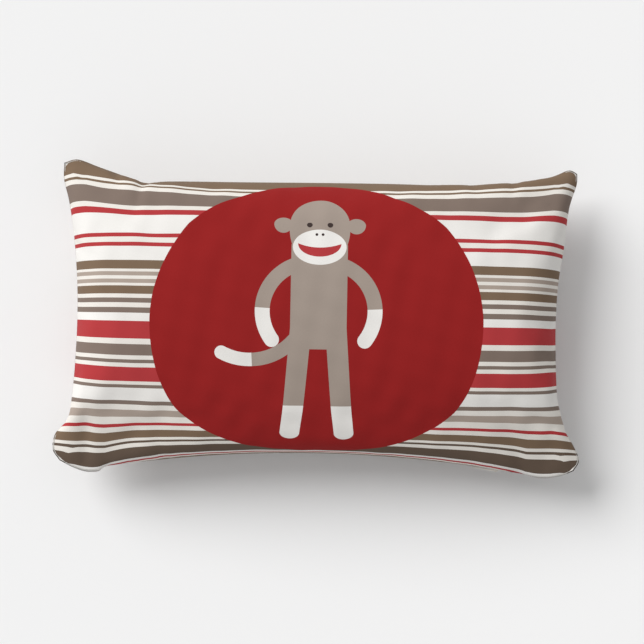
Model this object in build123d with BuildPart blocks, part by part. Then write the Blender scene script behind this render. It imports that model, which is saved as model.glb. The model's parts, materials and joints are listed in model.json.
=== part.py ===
"""Lumbar throw cushion: a zipped two-panel cover around a sewn, fibre-filled insert.

The cushion lies on its back with its printed face up. Millimetres, +Z up, +X along the long side, and the
zip in the long edge that faces -Y. The origin is the centre of the flat patch that it rests on.

Both panels meet in one seam plane. Every edge of a stuffed cushion is drawn in at its middle, so each edge,
seen from above, is a circular arc between two corners. The zip lies in such an edge, so its track is an arc.
"""

import math
import os

from build123d import *

# Cover, as it measures when stuffed
HALF_LENGTH = 266.0  # centre to an unrounded corner, along X
HALF_WIDTH = 163.0  # centre to an unrounded corner, along Y
SIDE_BOW = 27.0  # how far the middle of a short edge is drawn in
LONG_BOW = 28.0  # how far the middle of a long edge is drawn in
CROWN = 62.0  # height of either face above the seam plane
SEAM_Z = 54.0  # less than CROWN, so the underside is pressed flat
CORNER = 13.0
TRIM = 3.0  # a face's rounded corner stands this far outside its seam's corner
CLOTH = 0.6
SEAM_GAP = 0.1
ALLOWANCE = 10.0

# Thread and overlock on the cover's seam
THREAD = 0.4
THREAD_INSET = 1.4
OVERLOCK = 0.18
OVERLOCK_REACH = 3.1

# Zip: depths are measured inwards from the cover's edge, rises up and down from the seam plane
ZIP_HALF = 190.0
CHAIN_HALF = 188.0
TAPE_HALF = 204.0
SLOT_HALF = 196.0
SEWN_FROM = 206.0
SLOT_RISE = 3.45
COIL_FRONT, COIL_BACK = 0.8, 2.2
COIL_INNER, COIL_OUTER = 0.5, 2.3
COIL_ROUND = 0.4
TAPE_FRONT, TAPE_BACK = 2.3, 2.7
TAPE_LOW, TAPE_RISE = 1.0, 3.3
TAPE_DEPTH = 14.0
TAPE_CLOTH = TAPE_BACK - TAPE_FRONT
HEM_FRONT, HEM_BACK = 0.5, 13.0
STITCH_DEPTH = 8.0
STITCH_RADIUS = 0.2
STOP_LENGTH = 2.0
STOP_FRONT, STOP_BACK = 0.7, 3.3
STOP_RISE = 2.4
STOP_WEB = 0.45
TACK_LENGTH = 2.0
FIT = 0.05

# Slider: plates lie either side of the chain, joined by a post that runs between the two coils
SLIDER_LENGTH = 9.0
NOSE_HALF, TAIL_HALF = 3.1, 2.9
PLATE = 1.0
PLATE_CORNER = 0.6
OUTER_PLATE = 0.45  # outer face of the outer plate, outside the cover's edge
FLANGE_INNER = 2.5
FLANGE_END = 2.05  # depth that the flanges reach to
INNER_PLATE = 3.05  # depth of the inner plate's near face
INNER_HALF = 2.45
POST_HALF = 0.33
POST_LENGTH = 1.6
POST_FROM_NOSE = 0.8
PLAY = 0.5

# Crown ear on the slider, and the pull that swings on it
HINGE_OUT = 1.55  # pull's axis, outside the cover's edge
EAR_RADIUS = 1.3
EAR_WIDTH = 1.3
EAR_FOOT = 6.0
EAR_SLOPE = 65
EAR_HOLE = 0.56
PULL_BAR = 0.5
ARM_INNER, ARM_OUTER = 0.85, 1.75
WINDOW = 2.7
PULL_LENGTH = 24.0
PULL_HALF = 2.4
GRIP_HOLE = 1.2
GRIP_SLOT = 4.0

# Insert and its stuffing
INSERT_INSET = 18.0  # room for the cover's seam allowances and the zip's tapes
INSERT_CORNER = 20.0
INSERT_GAP = 1.0
INSERT_CLOTH = 0.4
INSERT_ALLOWANCE = 6.0
FILL_INSET = 8.0
FILL_GAP = 0.3
REST_GAP = 0.2

# Labels
LABEL = 0.25
LABEL_LENGTH = 30.0
LABEL_WIDTH = 10.0
LABEL_INSET = 4.0
LABEL_RISE = 0.95
LABEL_OFFSET = 35.0

GRID_LONG, GRID_WIDE = 20, 14


def arc_radius(half_chord, bow):
    """Radius of the arc over a chord whose middle stands off it by bow."""
    return (half_chord**2 + bow**2) / (2 * bow)


EDGE_RADIUS = arc_radius(HALF_LENGTH, LONG_BOW)
TRACK_Y = -(HALF_WIDTH - LONG_BOW) - EDGE_RADIUS
TRACK_AXIS = Axis((0, TRACK_Y, SEAM_Z), (0, 0, -1))
SLIDER_AT = ZIP_HALF - STOP_LENGTH - SLIDER_LENGTH / 2 - PLAY
SEAM_PLANE = Plane.XY.offset(SEAM_Z)


def drawn_in(place, half_chord, bow):
    """How far an edge is drawn in at a place from -1 to 1 along it."""
    radius = arc_radius(half_chord, bow)
    return math.sqrt(radius**2 - (place * half_chord) ** 2) - (radius - bow)


def crowned(inset, height):
    """Closed solid on the plane Z=0 under one crowned face, with its outline inset all round."""
    long, wide = HALF_LENGTH - inset, HALF_WIDTH - inset

    def point(along, across):
        sx, sy = math.sin(along), math.sin(across)
        x = sx * (long - drawn_in(sy, wide, SIDE_BOW))
        y = sy * (wide - drawn_in(sx, long, LONG_BOW))
        return x, y, height * math.cos(along) * math.cos(across)

    def angles(count):
        return [math.pi * (i / count - 0.5) for i in range(count + 1)]

    grid = [[point(a, b) for a in angles(GRID_LONG)] for b in angles(GRID_WIDE)]
    top = Face.make_surface_from_array_of_points(grid, tol=0.01, min_deg=3, max_deg=5)
    return Solid(Shell([top, Face(Wire(top.edges()))]))


def outline(inset, corner):
    """Sketch of the cushion's outline, inset all round, with rounded corners."""
    long, wide = HALF_LENGTH - inset, HALF_WIDTH - inset
    corners = [(long, wide), (-long, wide), (-long, -wide), (long, -wide)]
    middles = [(0, wide - LONG_BOW), (SIDE_BOW - long, 0), (0, LONG_BOW - wide), (long - SIDE_BOW, 0)]
    with BuildSketch() as plan:
        with BuildLine():
            for i, middle in enumerate(middles):
                ThreePointArc(corners[i], middle, corners[(i + 1) % 4])
        make_face()
        fillet(plan.vertices(), corner)
    return plan.sketch


def half_cushion(inset, corner, height, floor=None):
    """Crowned solid with rounded corners, cut off at the height floor above its seam plane if one is given."""
    dome, plan = crowned(inset, height), outline(inset - TRIM, corner)
    with BuildPart() as half:
        add(dome)
        with BuildSketch(Plane.XY.offset(-1)):
            add(plan)
        extrude(amount=CROWN + 2, mode=Mode.INTERSECT)
        if floor is not None:
            with BuildSketch(Plane.XY.offset(floor)):
                Rectangle(3 * HALF_LENGTH, 3 * HALF_WIDTH)
            extrude(amount=CROWN, mode=Mode.SUBTRACT)
    return half.part


def ring(outer, inner, corner, low, high):
    """Flat band along the outline between two insets, from low to high above the seam plane."""
    around, hollow = outline(outer, corner), outline(inner, max(corner - inner + outer, 2.0))
    with BuildPart() as band:
        with BuildSketch(Plane.XY.offset(SEAM_Z + low)):
            add(around)
            add(hollow, mode=Mode.SUBTRACT)
        extrude(amount=high - low)
    return band.part


def track_plane(along):
    """Plane across the zip's track at a distance along it: local X is the radius, local Y is up."""
    turn = along / EDGE_RADIUS
    outward = (math.sin(turn), math.cos(turn), 0)
    forward = (math.cos(turn), -math.sin(turn), 0)
    return Plane(origin=(0, TRACK_Y, SEAM_Z), x_dir=outward, z_dir=forward)


def follow_track(start, end):
    """Carries the pending profile from start to end along the zip's track."""
    revolve(axis=TRACK_AXIS, revolution_arc=math.degrees((end - start) / EDGE_RADIUS))


def profile_bar(near, far, low, high):
    """Rectangle in a track plane between two depths and two rises."""
    with Locations((EDGE_RADIUS + (near + far) / 2, (low + high) / 2)):
        Rectangle(far - near, high - low)


def track_block(start, end, near, far, low, high):
    """Bar along the zip's track."""
    with BuildPart() as block:
        with BuildSketch(track_plane(start)):
            profile_bar(near, far, low, high)
        follow_track(start, end)
    return block.part


def clear_of_zip(band):
    """The part of a seam band that is sewn shut, on the three plain sides and beside the zip."""
    opening = track_block(-SEWN_FROM, SEWN_FROM, -ALLOWANCE, 3 * ALLOWANCE, -CROWN, CROWN)
    with BuildPart() as sewn:
        add(band)
        add(opening, mode=Mode.SUBTRACT)
    return sewn.part


def on_side(shape, back):
    """A shape made above the seam plane, or its mirror image below it."""
    return shape.mirror(SEAM_PLANE) if back else shape


def cloth_skin(inset, corner, height, cloth, floor, back):
    """Sheet of cloth over one face, open at the seam plane, with its crown pressed flat if it is the back."""
    outer = half_cushion(inset, corner, height, floor if back else None)
    inner = half_cushion(inset + cloth, corner, height - cloth, floor - cloth if back else None)
    with BuildPart() as skin:
        add(outer)
        add(inner, mode=Mode.SUBTRACT)
    return on_side(Pos(0, 0, SEAM_Z + SEAM_GAP / 2) * skin.part, back)


def cover_panel(back):
    """One cloth panel of the cover with its seam allowance turned in, and a hemmed slot at the zip."""
    skin = cloth_skin(0, CORNER, CROWN, CLOTH, SEAM_Z - SEAM_GAP / 2, back)
    low = SEAM_GAP / 2
    allowance = clear_of_zip(ring(CLOTH / 2, ALLOWANCE, CORNER, low, low + CLOTH))
    slot = track_block(-SLOT_HALF, SLOT_HALF, -ALLOWANCE, ALLOWANCE, -SLOT_RISE, SLOT_RISE)
    hem = track_block(-SLOT_HALF, SLOT_HALF, HEM_FRONT, HEM_BACK, SLOT_RISE, SLOT_RISE + CLOTH)
    turned_in, hemmed = on_side(allowance, back), on_side(hem, back)
    with BuildPart() as panel:
        add(skin)
        add(turned_in)
        add(slot, mode=Mode.SUBTRACT)
        add(hemmed)
    return panel


def insert_panel(back):
    """One cloth panel of the insert with its seam allowance turned in."""
    height = CROWN - CLOTH - INSERT_GAP
    floor = SEAM_Z - SEAM_GAP / 2 - CLOTH - REST_GAP
    skin = cloth_skin(INSERT_INSET, INSERT_CORNER, height, INSERT_CLOTH, floor, back)
    near, low = INSERT_INSET + INSERT_CLOTH / 2, SEAM_GAP / 2
    allowance = ring(near, INSERT_INSET + INSERT_ALLOWANCE, INSERT_CORNER, low, low + INSERT_CLOTH)
    turned_in = on_side(allowance, back)
    with BuildPart() as panel:
        add(skin)
        add(turned_in)
    return panel


def fibre_core():
    """Loose polyester stuffing, taken as one solid that stands clear of the insert's cloth."""
    inset = INSERT_INSET + FILL_INSET
    height = CROWN - CLOTH - INSERT_GAP - INSERT_CLOTH - FILL_GAP
    floor = SEAM_Z - CLOTH - INSERT_CLOTH - 2 * REST_GAP
    upper = Pos(0, 0, SEAM_Z) * half_cushion(inset, INSERT_CORNER, height)
    lower = on_side(Pos(0, 0, SEAM_Z) * half_cushion(inset, INSERT_CORNER, height, floor), back=True)
    with BuildPart() as core:
        add(upper)
        add(lower)
    return core


def seam_threads(inset, corner, cloth, sewn_shut):
    """Needle thread above both allowances and bobbin thread below them."""
    rise = SEAM_GAP / 2 + cloth + FIT
    needle = ring(inset, inset + THREAD, corner, rise, rise + THREAD)
    needle = needle if sewn_shut else clear_of_zip(needle)
    bobbin = on_side(needle, back=True)
    with BuildPart() as threads:
        add(needle)
        add(bobbin)
    return threads


def overlock():
    """Overlock thread wrapped round the raw edges of both allowances."""
    top = SEAM_GAP / 2 + CLOTH + FIT / 2 + OVERLOCK
    edge = ALLOWANCE + 2 * FIT
    band = ring(edge - OVERLOCK_REACH, edge + THREAD, CORNER, -top, top)
    hollow = ring(0, edge, CORNER, -top + OVERLOCK, top - OVERLOCK)
    wrap = clear_of_zip(band - hollow)
    with BuildPart() as stitches:
        add(wrap)
    return stitches


def zip_tape(back):
    """Woven tape: a narrow leg behind the coil, and a wide leg turned in along the hem."""
    with BuildPart() as tape:
        with BuildSketch(track_plane(-TAPE_HALF)):
            profile_bar(TAPE_FRONT, TAPE_BACK, TAPE_LOW, TAPE_RISE)
            profile_bar(TAPE_FRONT, TAPE_DEPTH, TAPE_RISE - TAPE_CLOTH, TAPE_RISE)
        follow_track(-TAPE_HALF, TAPE_HALF)
    return on_side(tape.part, back)


def zip_coil(back):
    """Nylon coil sewn to the tape's edge, taken as its rounded outside."""
    with BuildPart() as coil:
        with BuildSketch(track_plane(-CHAIN_HALF)) as profile:
            profile_bar(COIL_FRONT, COIL_BACK, COIL_INNER, COIL_OUTER)
            fillet(profile.vertices(), COIL_ROUND)
        follow_track(-CHAIN_HALF, CHAIN_HALF)
    return on_side(coil.part, back)


def stitch_row(back):
    """Two threads that hold the hem to the tape: one on the hem, one under the tape."""
    above = SLOT_RISE + CLOTH + FIT + STITCH_RADIUS
    below = TAPE_RISE - TAPE_CLOTH - FIT - STITCH_RADIUS
    with BuildPart() as row:
        for rise in (above, below):
            with BuildSketch(track_plane(-ZIP_HALF)):
                with Locations((EDGE_RADIUS + STITCH_DEPTH, rise)):
                    Circle(STITCH_RADIUS)
            follow_track(-ZIP_HALF, ZIP_HALF)
    return on_side(row.part, back)


def top_stops():
    """A metal crimp on each tape at the closed end."""
    start = CHAIN_HALF + 2 * FIT
    with BuildPart() as stops:
        for side in (1, -1):
            with BuildSketch(track_plane(start)):
                low, high = sorted((side * COIL_INNER, side * STOP_RISE))
                profile_bar(STOP_FRONT, TAPE_FRONT - FIT, low, high)
                profile_bar(TAPE_BACK + FIT, STOP_BACK, low, high)
                low, high = sorted((side * COIL_INNER, side * (COIL_INNER + STOP_WEB)))
                profile_bar(STOP_FRONT, STOP_BACK, low, high)
            follow_track(start, start + STOP_LENGTH)
    return stops


def bottom_stop():
    """A metal crimp across both coils at the open end."""
    end = -CHAIN_HALF - 2 * FIT
    with BuildPart() as stop:
        with BuildSketch(track_plane(end - STOP_LENGTH)):
            profile_bar(STOP_FRONT, TAPE_FRONT - FIT, -STOP_RISE, STOP_RISE)
            profile_bar(TAPE_BACK + FIT, STOP_BACK, -STOP_RISE, STOP_RISE)
            profile_bar(STOP_FRONT, STOP_BACK, -COIL_INNER - STOP_WEB, COIL_INNER + STOP_WEB)
        follow_track(end - STOP_LENGTH, end)
    return stop


def end_tacks():
    """Bar tacks that close the slot behind each end of the chain."""
    rise = TAPE_RISE - TAPE_CLOTH - 2 * FIT
    near = STOP_BACK + 2 * FIT
    starts = (-ZIP_HALF - 2 * TACK_LENGTH, ZIP_HALF + TACK_LENGTH)
    tacks_made = [track_block(at, at + TACK_LENGTH, near, near + 2 * THREAD, -rise, rise) for at in starts]
    with BuildPart() as tacks:
        for tack in tacks_made:
            add(tack)
    return tacks


def slider_plane(out=0.0):
    """Plane across the slider: local X runs along the chain to its closed end, local Y is up."""
    turn = SLIDER_AT / EDGE_RADIUS
    outward = Vector(-math.sin(turn), -math.cos(turn), 0)
    on_edge = Vector(EDGE_RADIUS * math.sin(turn), TRACK_Y + EDGE_RADIUS * math.cos(turn), SEAM_Z)
    return Plane(origin=on_edge + outward * out, x_dir=(math.cos(turn), -math.sin(turn), 0), z_dir=outward)


def slider_side(offset):
    """Plane at a height above the seam plane: local X runs along the chain, local Y points outwards."""
    flat = slider_plane()
    return Plane(origin=flat.origin + Vector(0, 0, offset), x_dir=flat.x_dir, z_dir=(0, 0, -1))


def shield(half_nose, half_tail):
    """Plan of a slider plate: wide near its nose, narrow at its tail."""
    half, shoulder = SLIDER_LENGTH / 2, SLIDER_LENGTH / 4
    upper = [(half, 0.8 * half_nose), (shoulder, half_nose), (-half, half_tail)]
    lower = [(x, -y) for x, y in reversed(upper)]
    with BuildSketch() as plate:
        with BuildLine():
            Polyline(*upper, *lower, close=True)
        make_face()
        fillet(plate.vertices(), PLATE_CORNER)
    return plate.sketch


def slider_body():
    """Die-cast slider: flanged outer plate, plain inner plate, the post between them and the crown ear."""
    outer_plan, inner_plan = shield(NOSE_HALF, TAIL_HALF), shield(INNER_HALF, INNER_HALF)
    with BuildPart() as body:
        with BuildSketch(slider_plane(OUTER_PLATE - PLATE)):
            add(outer_plan)
        extrude(amount=PLATE)
        with BuildSketch(slider_plane(-FLANGE_END)):
            add(outer_plan)
            Rectangle(2 * SLIDER_LENGTH, 2 * FLANGE_INNER, mode=Mode.SUBTRACT)
        extrude(amount=FLANGE_END)
        with BuildSketch(slider_plane(-INNER_PLATE - PLATE)):
            add(inner_plan)
        extrude(amount=PLATE)
        with BuildSketch(slider_plane(-INNER_PLATE)):
            with Locations((SLIDER_LENGTH / 2 - POST_FROM_NOSE - POST_LENGTH / 2, 0)):
                SlotOverall(POST_LENGTH, 2 * POST_HALF)
        extrude(amount=INNER_PLATE)
        with BuildSketch(slider_side(-EAR_WIDTH / 2)) as ear:
            with Locations((0, HINGE_OUT)):
                Circle(EAR_RADIUS)
            with Locations((0, HINGE_OUT / 2)):
                Trapezoid(EAR_FOOT, HINGE_OUT, EAR_SLOPE)
        extrude(ear.sketch, amount=-EAR_WIDTH)
        with BuildSketch(slider_side(-EAR_WIDTH)) as hole:
            with Locations((0, HINGE_OUT)):
                Circle(EAR_HOLE)
        extrude(hole.sketch, amount=-2 * EAR_WIDTH, mode=Mode.SUBTRACT)
    return body


def pull_tab():
    """Pull: two arms either side of the ear, the round bar through its hole, and the flat tab."""
    arm_width = ARM_OUTER - ARM_INNER
    with BuildPart() as pull:
        with BuildSketch(slider_plane(HINGE_OUT - PULL_BAR)):
            with Locations((-PULL_LENGTH / 2, 0)):
                RectangleRounded(PULL_LENGTH, 2 * PULL_HALF, PULL_HALF - FIT)
            with Locations((-WINDOW / 2, 0)):
                Rectangle(WINDOW, 2 * PULL_HALF, mode=Mode.SUBTRACT)
            with Locations(*[(-WINDOW / 2 - PULL_BAR, side * (ARM_INNER + arm_width / 2)) for side in (1, -1)]):
                Rectangle(WINDOW + 2 * PULL_BAR, arm_width)
            with Locations((-PULL_LENGTH + 2 * PULL_HALF, 0)):
                SlotCenterToCenter(GRIP_SLOT, 2 * GRIP_HOLE, mode=Mode.SUBTRACT)
        extrude(amount=2 * PULL_BAR)
        with BuildSketch(slider_side(-ARM_OUTER)) as bar:
            with Locations((0, HINGE_OUT)):
                Circle(PULL_BAR)
        extrude(bar.sketch, amount=-2 * ARM_OUTER)
    return pull


def side_label(side, low):
    """Blank satin label caught in a short edge's seam and lying inside the cover."""
    near = HALF_LENGTH - SIDE_BOW - LABEL_INSET
    with BuildPart() as label:
        with BuildSketch(Plane.XY.offset(SEAM_Z + low)):
            with Locations((side * (near - LABEL_WIDTH / 2), side * LABEL_OFFSET)):
                Rectangle(LABEL_WIDTH, LABEL_LENGTH)
        extrude(amount=LABEL)
    return label


def save(name, shape):
    """Writes one named sub-part."""
    shape.label = name
    export_step(shape, f"parts/{name}.step")


os.makedirs("parts", exist_ok=True)
save("cover_front", cover_panel(back=False).part)
save("cover_back", cover_panel(back=True).part)
save("cover_seam_thread", seam_threads(THREAD_INSET, CORNER, CLOTH, sewn_shut=False).part)
save("cover_overlock_thread", overlock().part)
save("care_label", side_label(-1, LABEL_RISE).part)
save("zip_tape_front", zip_tape(back=False))
save("zip_tape_back", zip_tape(back=True))
save("zip_coil_front", zip_coil(back=False))
save("zip_coil_back", zip_coil(back=True))
save("zip_stitching_front", stitch_row(back=False))
save("zip_stitching_back", stitch_row(back=True))
save("zip_top_stops", top_stops().part)
save("zip_bottom_stop", bottom_stop().part)
save("zip_end_tacks", end_tacks().part)
save("zip_slider", slider_body().part)
save("zip_pull", pull_tab().part)
save("insert_front", insert_panel(back=False).part)
save("insert_back", insert_panel(back=True).part)
insert_thread_inset = INSERT_INSET + THREAD_INSET
save("insert_seam_thread", seam_threads(insert_thread_inset, INSERT_CORNER, INSERT_CLOTH, sewn_shut=True).part)
save("insert_label", side_label(1, -LABEL_RISE - LABEL).part)
save("fibre_fill", fibre_core().part)
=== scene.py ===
"""Looks for the zipped lumbar cushion: simulated printed cover, zip, insert, stuffing, floor, light, camera.

Metres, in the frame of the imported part: +Z up out of the printed face, zip in the long edge facing -Y.
The cover is simulated from its flat pattern: (u, v) is a place on that pattern, or in the print on it.
"""

import json
import math

import bmesh
import bpy
import numpy as np
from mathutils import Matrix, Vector


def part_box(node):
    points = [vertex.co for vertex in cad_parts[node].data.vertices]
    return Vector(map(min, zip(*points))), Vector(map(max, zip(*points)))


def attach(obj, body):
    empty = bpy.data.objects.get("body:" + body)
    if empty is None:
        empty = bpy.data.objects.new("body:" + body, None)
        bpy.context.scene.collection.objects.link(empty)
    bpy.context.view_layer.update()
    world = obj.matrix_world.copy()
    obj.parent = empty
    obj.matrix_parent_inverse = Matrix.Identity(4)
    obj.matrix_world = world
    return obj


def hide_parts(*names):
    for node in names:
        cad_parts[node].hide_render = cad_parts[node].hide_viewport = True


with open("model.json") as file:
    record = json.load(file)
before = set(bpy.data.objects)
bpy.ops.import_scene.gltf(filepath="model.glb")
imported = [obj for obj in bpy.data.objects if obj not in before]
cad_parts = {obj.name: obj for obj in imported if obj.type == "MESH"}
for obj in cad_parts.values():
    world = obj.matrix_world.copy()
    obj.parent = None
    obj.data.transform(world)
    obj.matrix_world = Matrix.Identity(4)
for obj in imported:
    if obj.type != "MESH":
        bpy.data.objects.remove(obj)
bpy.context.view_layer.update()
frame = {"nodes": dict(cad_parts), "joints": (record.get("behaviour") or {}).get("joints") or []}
MM = 0.001

# ---------------------------------------------------------------- places taken from the frame
JOINTS = {joint["name"]: joint for joint in frame["joints"]}
TRACK_CENTRE = Vector(JOINTS["zip_run"]["pos_m"])
SEAM_Z = TRACK_CENTRE.z
COIL_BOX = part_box("zip_coil_front")
TAPE_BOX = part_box("zip_tape_front")
COIL_FRONT, COIL_BACK = 0.8 * MM, 2.2 * MM
EDGE_RADIUS = COIL_BOX[1].y - TRACK_CENTRE.y - COIL_BACK
COIL_BOTTOM, COIL_TOP = COIL_BOX[0].z - SEAM_Z, COIL_BOX[1].z - SEAM_Z
TAPE_TOP = TAPE_BOX[1].z - SEAM_Z
CHAIN_HALF = 188 * MM

# ---------------------------------------------------------------- cover pattern and stuffed outline
PATTERN_HALF = (266.5 * MM, 165.0 * MM)
PATTERN_CORNER = 26 * MM
PRINT_FROM = 93 * MM
PRINT_SHARE = 0.32
UPPER_PRINT = {"reach": 235 * MM, "power": 4, "most": 10 * MM}
LOWER_PRINT = {"reach": 210 * MM, "power": 3, "most": 30 * MM}
CELLS = (100, 62)
SLOT_HALF = 196 * MM
SEWN_FROM = 206 * MM
SLOT_RISE = 3.45 * MM
SEAM_HALF_GAP = 0.2 * MM
CLOTH = 0.6 * MM
ALLOWANCE = 10 * MM
HEM = 13 * MM
START_CROWN = 60 * MM
START_HALF = (240 * MM, 135 * MM)
PROFILE_STEPS = 400
OUTLINE_STEPS = 24
ARC_POINTS = 9

# Stuffed outline in the seam plane, edge by edge and clockwise from the top left corner, in millimetres.
# The zipped stretch of the lower edge is left out: it follows the arc of the zip's track.
TOP_EDGE = [(-254.5, 150.5), (-241, 154), (-220, 147), (-198, 139.5), (-175, 131), (-150, 133.7),
            (-75, 134.3), (0, 135), (70, 135.3), (137, 134.8), (200, 138.5), (232, 145), (250, 152),
            (258.5, 148.5)]
RIGHT_EDGE = [(258.5, 148.5), (258, 137), (251, 113), (246.3, 72), (241.5, 38), (239.8, 0), (240.5, -40),
              (243, -78), (250, -106), (260, -124), (265.5, -138), (260, -148.5)]
LOWER_RIGHT = [(260, -148.5), (246, -154), (226, -156)]
LOWER_LEFT = [(-212, -156.5), (-226, -158), (-240, -154), (-254, -147)]
LEFT_EDGE = [(-254, -147), (-261, -136), (-259, -121), (-252, -112.5), (-244.5, -103), (-243, -85),
             (-240.5, -55), (-238.8, -10), (-239.5, 32), (-243.5, 78), (-249, 112), (-254.5, 134),
             (-254.5, 150.5)]

# Cloth simulation
SIM_FRAMES = 25
STUFFED_BY = 16
SOLVER_STEPS = 5
PRESSURE = 30
STRETCH_STIFFNESS = 30
BEND_STIFFNESS = 3
FLAT_LIFT = 2 * MM
TINY = 1e-12


def smooth_step(share):
    """Eases a share from 0 to 1 with no corner at either end."""
    return share * share * (3 - 2 * share)


def lengths_along(path):
    """Each point's distance along a path."""
    return np.concatenate([[0], np.cumsum(np.linalg.norm(np.diff(path, axis=0), axis=1))])


def unit(vectors):
    """The same directions with length one."""
    return vectors / np.maximum(np.linalg.norm(vectors, axis=-1, keepdims=True), TINY)


def eased_between(points, steps):
    """The points with steps times as many gaps between them, on Catmull-Rom curves along the first axis."""
    padded = np.concatenate([[2 * points[0] - points[1]], points, [2 * points[-1] - points[-2]]])
    before, first, second, after = padded[:-3], padded[1:-2], padded[2:-1], padded[3:]
    between = [
        ((-t + 2 * t**2 - t**3) * before + (2 - 5 * t**2 + 3 * t**3) * first
         + (t + 4 * t**2 - 3 * t**3) * second + (t**3 - t**2) * after) / 2
        for t in np.arange(steps) / steps
    ]
    return np.concatenate([np.stack(between, 1).reshape(-1, *points.shape[1:]), points[-1:]])


def through(points):
    """Smooth outline through points in millimetres, as a dense list of points in metres."""
    return eased_between(np.array(points, float) * MM, OUTLINE_STEPS)


def track_xy(along, depth=0.0):
    """Plan place on the zip's track, at a distance along it and a depth inside the cover's edge."""
    turn = np.asarray(along) / EDGE_RADIUS
    radius = EDGE_RADIUS + depth
    return np.stack([radius * np.sin(turn), TRACK_CENTRE.y + radius * np.cos(turn)], -1)


def lower_edge():
    """Lower edge from the right corner to the left one, with the zip's arc in its middle."""
    arc = track_xy(np.linspace(SEWN_FROM, -SEWN_FROM, ARC_POINTS)) / MM
    return through(LOWER_RIGHT + [tuple(xy) for xy in arc] + LOWER_LEFT)


def at_lengths(path, wanted):
    """Points at these distances along a path."""
    length = lengths_along(path)
    return np.stack([np.interp(wanted, length, column) for column in path.T], -1)


def pattern_grid():
    """Flat pattern of one panel: grid places (u, v) on a rectangle whose rings round off at its corners."""
    s = np.linspace(-1, 1, CELLS[0] + 1)[:, None]
    t = np.linspace(-1, 1, CELLS[1] + 1)[None, :]
    from_side = (1 - abs(s)) * PATTERN_HALF[0] + 0 * t
    from_end = (1 - abs(t)) * PATTERN_HALF[1] + 0 * s
    ring = np.minimum(from_side, from_end)
    radius = np.maximum(PATTERN_CORNER - ring, 0)
    along = np.maximum(from_side, from_end) - ring
    turning = (along < radius) & (radius > 0)
    angle = math.pi / 4 * (1 + along / np.where(radius > 0, radius, 1))
    near = PATTERN_CORNER - radius * np.sin(angle)
    far = PATTERN_CORNER - radius * np.cos(angle)
    side_is_near = from_side <= from_end
    side = np.where(turning, np.where(side_is_near, near, far), from_side)
    end = np.where(turning, np.where(side_is_near, far, near), from_end)
    u = np.sign(s + 0 * t) * (PATTERN_HALF[0] - side)
    v = np.sign(t + 0 * s) * (PATTERN_HALF[1] - end)
    return np.stack([u, v], -1)


def shares_along(line):
    """Each point's share of a polyline's length."""
    length = lengths_along(line)
    return length / length[-1]


def even_profile(half_span, crown):
    """Shares of a half-ellipse's span at evenly spaced lengths along its arc, as a function of -1 to 1."""
    angle = np.linspace(-math.pi / 2, math.pi / 2, PROFILE_STEPS)
    arc = np.stack([half_span * np.sin(angle), crown * np.cos(angle)], -1)
    shares = shares_along(arc) * 2 - 1
    return lambda place: np.interp(place, shares, np.sin(angle))


def start_grid(pattern):
    """Where the panel's grid starts: the stuffed outline, filled in and raised to a low crown."""
    curves = {
        "top": through(TOP_EDGE), "bottom": lower_edge()[::-1],
        "right": through(RIGHT_EDGE)[::-1], "left": through(LEFT_EDGE),
    }
    lines = {"top": pattern[:, -1], "bottom": pattern[:, 0], "right": pattern[-1, :], "left": pattern[0, :]}
    s = np.linspace(-1, 1, CELLS[0] + 1)
    t = np.linspace(-1, 1, CELLS[1] + 1)
    long_profile, wide_profile = (even_profile(half, START_CROWN) for half in START_HALF)
    lift_s = np.sqrt(np.maximum(1 - long_profile(s) ** 2, 0))
    lift_t = np.sqrt(np.maximum(1 - wide_profile(t) ** 2, 0))
    gs = long_profile(s)[:, None] * lift_t[None, :] + s[:, None] * (1 - lift_t[None, :])
    gt = wide_profile(t)[None, :] * lift_s[:, None] + t[None, :] * (1 - lift_s[:, None])
    a, b = (gs + 1) / 2, (gt + 1) / 2

    def edge(name, where, places):
        shares = np.interp(where, (places + 1) / 2, shares_along(lines[name]))
        return at_lengths(curves[name], shares * lengths_along(curves[name])[-1])

    top, bottom = edge("top", a, s), edge("bottom", a, s)
    right, left = edge("right", b, t), edge("left", b, t)
    a, b = a[..., None], b[..., None]
    left_end, right_end = curves["left"], curves["right"]
    flat = (1 - b) * bottom + b * top + (1 - a) * left + a * right
    flat -= ((1 - a) * (1 - b) * left_end[0] + (1 - a) * b * left_end[-1]
             + a * (1 - b) * right_end[0] + a * b * right_end[-1])
    height = START_CROWN * lift_s[:, None] * lift_t[None, :]
    return np.dstack([flat, height])


def open_share(xy):
    """1 beside the zip's slot, 0 along the sewn edges, smooth between."""
    share = np.clip((SEWN_FROM - abs(xy[..., 0])) / (SEWN_FROM - SLOT_HALF), 0, 1)
    return smooth_step(share) * (xy[..., 1] < 0)


def slot_rise(share):
    """Half the gap between the panels, where the zip's slot is open by this share."""
    return SEAM_HALF_GAP + (SLOT_RISE - SEAM_HALF_GAP) * share


def border(rows, columns):
    """Index arrays round a grid's border, in order, without repeats."""
    top, end = rows - 1, columns - 1
    up, across = np.arange(top), np.arange(end)
    i = np.concatenate([up, np.full(end, top), top - up, np.zeros(end, int)])
    j = np.concatenate([np.zeros(top, int), across, np.full(top, end), end - across])
    return i, j


def grid_quads(rows, columns, first=0):
    """Faces of a grid of points numbered row by row from first."""
    ids = np.arange(rows * columns).reshape(rows, columns) + first
    return np.stack([ids[:-1, :-1], ids[1:, :-1], ids[1:, 1:], ids[:-1, 1:]], -1).reshape(-1, 4)


def band_quads(one, other):
    """Faces between two closed loops of the same length."""
    return np.stack([one, np.roll(one, -1), np.roll(other, -1), other], -1)


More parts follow.
